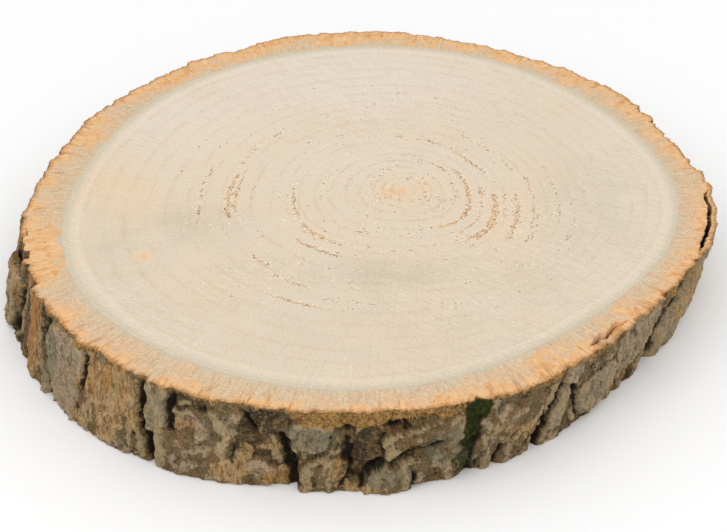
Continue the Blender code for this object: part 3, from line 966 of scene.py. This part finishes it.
class WOODSLICE_OT_grow_bark(bpy.types.Operator):
    """Grow the ring of bark, with its plates, fissures and splits"""

    bl_idname = "woodslice.grow_bark"
    bl_label = "Grow Bark"

    def execute(self, context):
        sizes, colours = context.scene.slice_sizes, context.scene.slice_colours
        points, values = bark_grid(sizes)
        around, stations = points.shape[:2]
        ring, step, station = roll_sheet("rough_bark", around, stations)
        station = station % stations
        close_sheet(ring, points[step, station], {n: v[step, station] for n, v in values.items()}, 55)
        wear(ring, inner_and_outer_bark(sizes, colours), "bark", "bark")
        return {"FINISHED"}


def strew(name, roots, headings, lengths, widths):
    """One thin blade, copied so that each copy grows from its root along its heading."""
    bpy.ops.object.select_all(action="DESELECT")
    bpy.ops.mesh.primitive_cone_add(vertices=3, radius1=0.5, radius2=0, depth=1, location=(0, 0, 0.5))
    bpy.ops.object.transform_apply(location=True, rotation=False, scale=False)
    blade = bpy.context.object
    blade.name = blade.data.name = name
    corners = np.array([vertex.co for vertex in blade.data.vertices])
    faces = [tuple(face.vertices) for face in blade.data.polygons]
    along = headings / np.linalg.norm(headings, axis=1, keepdims=True)
    beside = np.cross(along, (0.31, 0.17, 0.93))
    beside /= np.linalg.norm(beside, axis=1, keepdims=True)
    across = np.cross(along, beside)
    width, length = widths[:, None, None], lengths[:, None, None]
    x, y, z = corners.T[:, :, None]
    places = roots[:, None] + width * (x * beside[:, None] + y * across[:, None])
    places = places + length * z * along[:, None]
    places[..., 2] = places[..., 2].clip(0, (THICKNESS + 0.4) * MM)
    starts = range(0, len(roots) * len(corners), len(corners))
    copies = [tuple(corner + start for corner in face) for start in starts for face in faces]
    blade.data.clear_geometry()
    blade.data.from_pydata(places.reshape(-1, 3).tolist(), [], copies)
    blade.data.update()
    return blade


def bark_corners(*names):
    """Places, normals and named values at the corners of the finished bark."""
    mesh = bpy.data.objects["rough_bark"].data
    count = len(mesh.vertices)
    found = []
    for source, key in ((mesh.vertices, "co"), (mesh.vertex_normals, "vector")):
        flat = np.empty(count * 3)
        source.foreach_get(key, flat)
        found.append(flat.reshape(-1, 3))
    for name in names:
        values = np.empty(count)
        mesh.attributes[name].data.foreach_get("value", values)
        found.append(values)
    return found


class WOODSLICE_OT_grow_moss(bpy.types.Operator):
    """Grow the moss in the fissures"""

    bl_idname = "woodslice.grow_moss"
    bl_label = "Grow Moss"

    def execute(self, context):
        sizes, colours = context.scene.slice_sizes, context.scene.slice_colours
        draw = np.random.default_rng(MOSS_SEED)
        place, normal, moss = bark_corners("moss")
        weight = np.clip(moss - 0.3, 0, None) ** 1.5
        chosen = draw.choice(len(place), sizes.moss_blades, p=weight / weight.sum())
        roots = place[chosen] + draw.normal(0, 0.35, (len(chosen), 3)) * MM
        headings = normal[chosen] + draw.normal(0, 0.7, roots.shape) + (0, 0, -0.25)
        headings += normal[chosen] * np.maximum(0, 0.3 - (headings * normal[chosen]).sum(1))[:, None]
        blades = strew("moss", roots, headings, draw.uniform(0.7, 1.9, len(chosen)) * MM,
                       draw.uniform(0.2, 0.42, len(chosen)) * MM)
        wear(blades, soft_growth("moss leaves", colours.moss, linear(50, 54, 26)), "bark")
        return {"FINISHED"}


class WOODSLICE_OT_tear_fibres(bpy.types.Operator):
    """Tear slivers of inner bark along the sawn rim and in the bare patches"""

    bl_idname = "woodslice.tear_fibres"
    bl_label = "Tear Fibres"

    def execute(self, context):
        sizes = context.scene.slice_sizes
        draw = np.random.default_rng(FIBRE_SEED)
        place, normal, sawn, across, orange_from, bare, rust = bark_corners(
            "sawn", "across", "orange_from", "bare", "rust")
        rim = sawn * (place[:, 2] > 0.9 * THICKNESS * MM) * smooth_step(0.0, 0.5, across - orange_from)
        rim *= across < 0.97
        side = (1 - sawn) * (smooth_step(0.5, 0.9, bare) + 0.6 * smooth_step(0.5, 0.9, rust))
        weight = 0.7 * rim / rim.sum() + 0.3 * side / side.sum()
        chosen = draw.choice(len(place), sizes.fibre_count, p=weight)
        outward = place[chosen] * (1, 1, 0)
        outward /= np.linalg.norm(outward, axis=1, keepdims=True)
        on_top = sawn[chosen, None] > 0.5
        headings = np.where(on_top, outward + (0, 0, 0.12), (0, 0, -1) + 0.2 * normal[chosen])
        headings = headings + draw.normal(0, 0.22, headings.shape) * (1, 1, 0.4)
        lengths = draw.uniform(0.8, 2.4, len(chosen)) * MM
        roots = place[chosen] - 0.1 * MM * normal[chosen]
        slivers = strew("torn_fibres", roots, headings, lengths, draw.uniform(0.2, 0.4, len(chosen)) * MM)
        wear(slivers, soft_growth("torn bast", linear(232, 184, 130), linear(206, 152, 96)), "bark")
        return {"FINISHED"}


class WOODSLICE_OT_set_stage(bpy.types.Operator):
    """Set the pale floor, the soft light and the camera"""

    bl_idname = "woodslice.set_stage"
    bl_label = "Set Stage"

    def execute(self, context):
        scene = context.scene
        bpy.ops.object.select_all(action="DESELECT")
        bpy.ops.mesh.primitive_plane_add(size=FLOOR_WIDTH, location=(0, 0, 0))
        floor = context.object
        floor.name = floor.data.name = "studio_floor"
        pale = Finish("pale floor", 0.9, 0.1)
        pale.shader.inputs["Base Color"].default_value = (*scene.slice_colours.floor, 1)
        floor.data.materials.append(pale.material)

        world = bpy.data.worlds.new("soft studio")
        world.use_nodes = True
        sky = world.node_tree.nodes["Background"].inputs
        sky["Color"].default_value = (1, 1, 1, 1)
        sky["Strength"].default_value = SKY_STRENGTH
        scene.world = world

        bpy.ops.object.light_add(type="AREA", location=KEY_PLACE)
        key = context.object
        key.name = key.data.name = "key_light"
        key.data.shape = "SQUARE"
        key.data.size = KEY_WIDTH
        key.data.energy = KEY_POWER
        key.rotation_euler = (math.radians(KEY_TILT), 0, math.radians(KEY_SWING))

        bpy.ops.object.camera_add(location=CAMERA_PLACE, rotation=(math.radians(CAMERA_TILT), 0, 0))
        camera = context.object
        camera.name = camera.data.name = "camera"
        camera.data.sensor_width = SENSOR_WIDTH
        camera.data.lens = SENSOR_WIDTH / 2 / math.tan(math.radians(CAMERA_SPREAD / 2))
        scene.camera = camera
        scene.view_settings.view_transform = "Standard"
        return {"FINISHED"}


class WOODSLICE_PT_panel(bpy.types.Panel):
    """Sizes, colours and build steps of the wood slice"""

    bl_label = "Wood Slice"
    bl_idname = "WOODSLICE_PT_panel"
    bl_space_type = "VIEW_3D"
    bl_region_type = "UI"
    bl_category = "Wood Slice"

    def draw(self, context):
        for group in (context.scene.slice_sizes, context.scene.slice_colours):
            box = self.layout.box()
            for name in group.__annotations__:
                box.prop(group, name)
        for step in STEPS:
            self.layout.operator(step.bl_idname)


STEPS = (WOODSLICE_OT_saw_wood, WOODSLICE_OT_grow_bark, WOODSLICE_OT_grow_moss, WOODSLICE_OT_tear_fibres,
         WOODSLICE_OT_set_stage)
CLASSES = (SliceSizes, SliceColours, *STEPS, WOODSLICE_PT_panel)


def register():
    for each in CLASSES:
        bpy.utils.register_class(each)
    bpy.types.Scene.slice_sizes = PointerProperty(type=SliceSizes)
    bpy.types.Scene.slice_colours = PointerProperty(type=SliceColours)


def unregister():
    del bpy.types.Scene.slice_colours
    del bpy.types.Scene.slice_sizes
    for each in reversed(CLASSES):
        bpy.utils.unregister_class(each)


def main():
    register()
    bpy.ops.woodslice.saw_wood()
    bpy.ops.woodslice.grow_bark()
    bpy.ops.woodslice.grow_moss()
    bpy.ops.woodslice.tear_fibres()
    bpy.ops.woodslice.set_stage()


if __name__ == "__main__":
    main()
